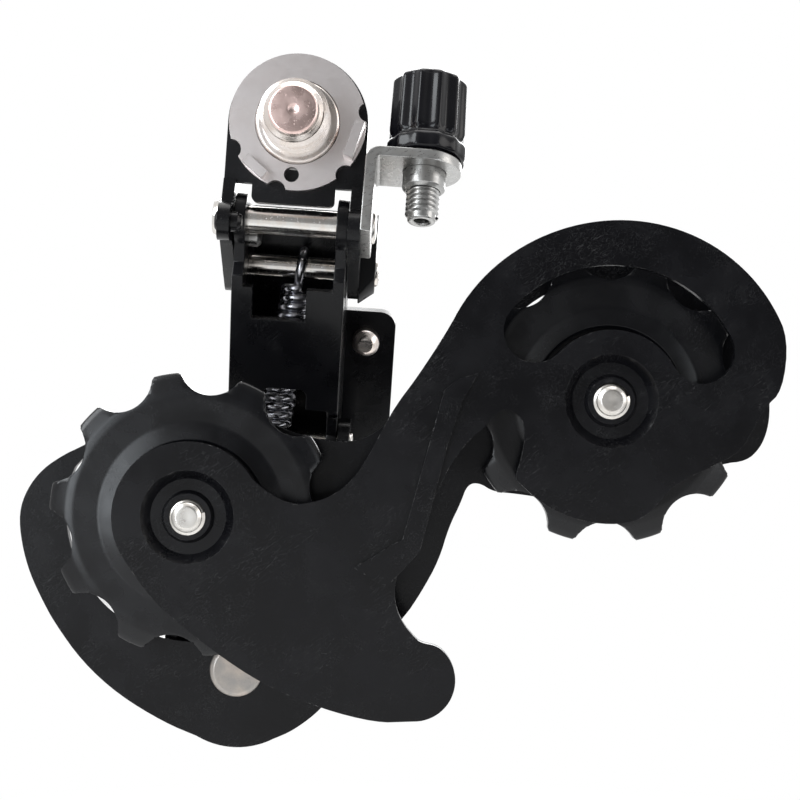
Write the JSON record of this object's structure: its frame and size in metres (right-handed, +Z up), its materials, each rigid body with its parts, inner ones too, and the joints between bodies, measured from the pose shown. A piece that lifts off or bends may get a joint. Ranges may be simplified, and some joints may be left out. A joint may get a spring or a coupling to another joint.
{
  "type": "bicycle rear derailleur",
  "caption": "Direct-mount rear derailleur with a sprung parallelogram, a cable adjuster and a sprung two-pulley cage that guides and tensions a chain.",
  "frame": {"origin": "axis of the mounting bolt at the face that seats on the frame's hanger", "axes": "+X to the rear of the bicycle, +Y outboard away from the wheel, +Z up"},
  "size_m": [0.1067, 0.0509, 0.1012],
  "materials": {
    "black_steel": "gloss black coating",
    "black_plastic": "moulded, glossy",
    "zinc": "zinc plated",
    "bright_steel": "turned, nickel plated",
    "spring_steel": "oiled spring wire"
  },
  "bodies": {
    "mount": {"stopper_plate": "zinc"},
    "bolt": {"mounting_bolt": "bright_steel"},
    "upper_knuckle": {"upper_knuckle": "black_steel", "pivot_sleeve": "zinc", "upper_inner_pin": "bright_steel", "upper_outer_pin": "bright_steel", "adjuster_bracket": "zinc", "adjuster_bush": "zinc", "return_spring": "spring_steel"},
    "high_screw": {"high_limit_screw": "zinc"},
    "low_screw": {"low_limit_screw": "black_steel"},
    "barrel": {"barrel_screw": "zinc", "adjuster_knob": "black_plastic", "adjuster_spring": "spring_steel"},
    "outer_link": {"outer_link": "black_steel", "cable_anchor_bolt": "bright_steel", "cable_clamp_washer": "zinc"},
    "inner_link": {"inner_link": "black_steel"},
    "lower_knuckle": {"lower_knuckle": "black_steel", "lower_inner_pin": "bright_steel", "lower_outer_pin": "bright_steel"},
    "cage": {"outer_cage_plate": "black_steel", "inner_cage_plate": "black_steel", "cage_axle": "bright_steel", "axle_circlip": "spring_steel", "cage_spring": "spring_steel", "cage_stop_pin": "bright_steel", "guide_bush": "bright_steel", "guide_washers": "zinc", "guide_bolt": "bright_steel", "tension_bush": "bright_steel", "tension_washers": "zinc", "tension_bolt": "bright_steel"},
    "guide_pulley": {"guide_pulley": "black_plastic"},
    "tension_pulley": {"tension_pulley": "black_plastic"}
  },
  "joints": [
    {"name": "bolt_turn", "type": "hinge", "parent": "mount", "child": "bolt", "pos_m": [0, 0, 0], "axis": [0, 1, 0], "continuous": true},
    {"name": "mount_pivot", "type": "hinge", "parent": "mount", "child": "upper_knuckle", "pos_m": [0, 0.008, 0], "axis": [0, 1, 0], "range_deg": [-35, 8]},
    {"name": "high_screw_turn", "type": "hinge", "parent": "upper_knuckle", "child": "high_screw", "pos_m": [-0.01013, 0.00997, -0.0158], "axis": [0.9976, 0, -0.0698], "continuous": true},
    {"name": "low_screw_turn", "type": "hinge", "parent": "upper_knuckle", "child": "low_screw", "pos_m": [-0.01006, -0.00125, -0.01482], "axis": [0.9976, 0, -0.0698], "continuous": true},
    {"name": "barrel_turn", "type": "hinge", "parent": "upper_knuckle", "child": "barrel", "pos_m": [0.01885, 0.004, -0.00573], "axis": [0.0667, 0.2924, 0.954], "continuous": true},
    {"name": "outer_link_swing", "type": "hinge", "parent": "upper_knuckle", "child": "outer_link", "pos_m": [-0.00142, 0.0145, -0.02025], "axis": [-0.9976, 0, 0.0698], "range_deg": [0, 54], "stiffness_Nm_per_rad": 0.5, "springref_deg": -20.05, "deforming": ["return_spring"]},
    {"name": "inner_link_swing", "type": "hinge", "parent": "upper_knuckle", "child": "inner_link", "pos_m": [-0.001, 0.0045, -0.01436], "axis": [-0.9976, 0, 0.0698], "range_deg": [-1, 55]},
    {"name": "lower_knuckle_swing", "type": "hinge", "parent": "outer_link", "child": "lower_knuckle", "pos_m": [-0.00374, 0.02799, -0.05355], "axis": [-0.9976, 0, 0.0698], "range_deg": [-55, 1]},
    {"name": "cage_turn", "type": "hinge", "parent": "lower_knuckle", "child": "cage", "pos_m": [-0.0082, 0, -0.0794], "axis": [0, 1, 0], "range_deg": [0, 125], "stiffness_Nm_per_rad": 0.12, "springref_deg": -85.94, "deforming": ["cage_spring"]},
    {"name": "guide_pulley_spin", "type": "hinge", "parent": "cage", "child": "guide_pulley", "pos_m": [-0.01394, -0.012, -0.05692], "axis": [0, 1, 0], "continuous": true},
    {"name": "tension_pulley_spin", "type": "hinge", "parent": "cage", "child": "tension_pulley", "pos_m": [0.04394, -0.012, -0.04108], "axis": [0, 1, 0], "continuous": true}
  ],
  "couplings": [
    {"joint": "inner_link_swing", "follows": "outer_link_swing", "ratio": 1},
    {"joint": "lower_knuckle_swing", "follows": "outer_link_swing", "ratio": -1}
  ]
}
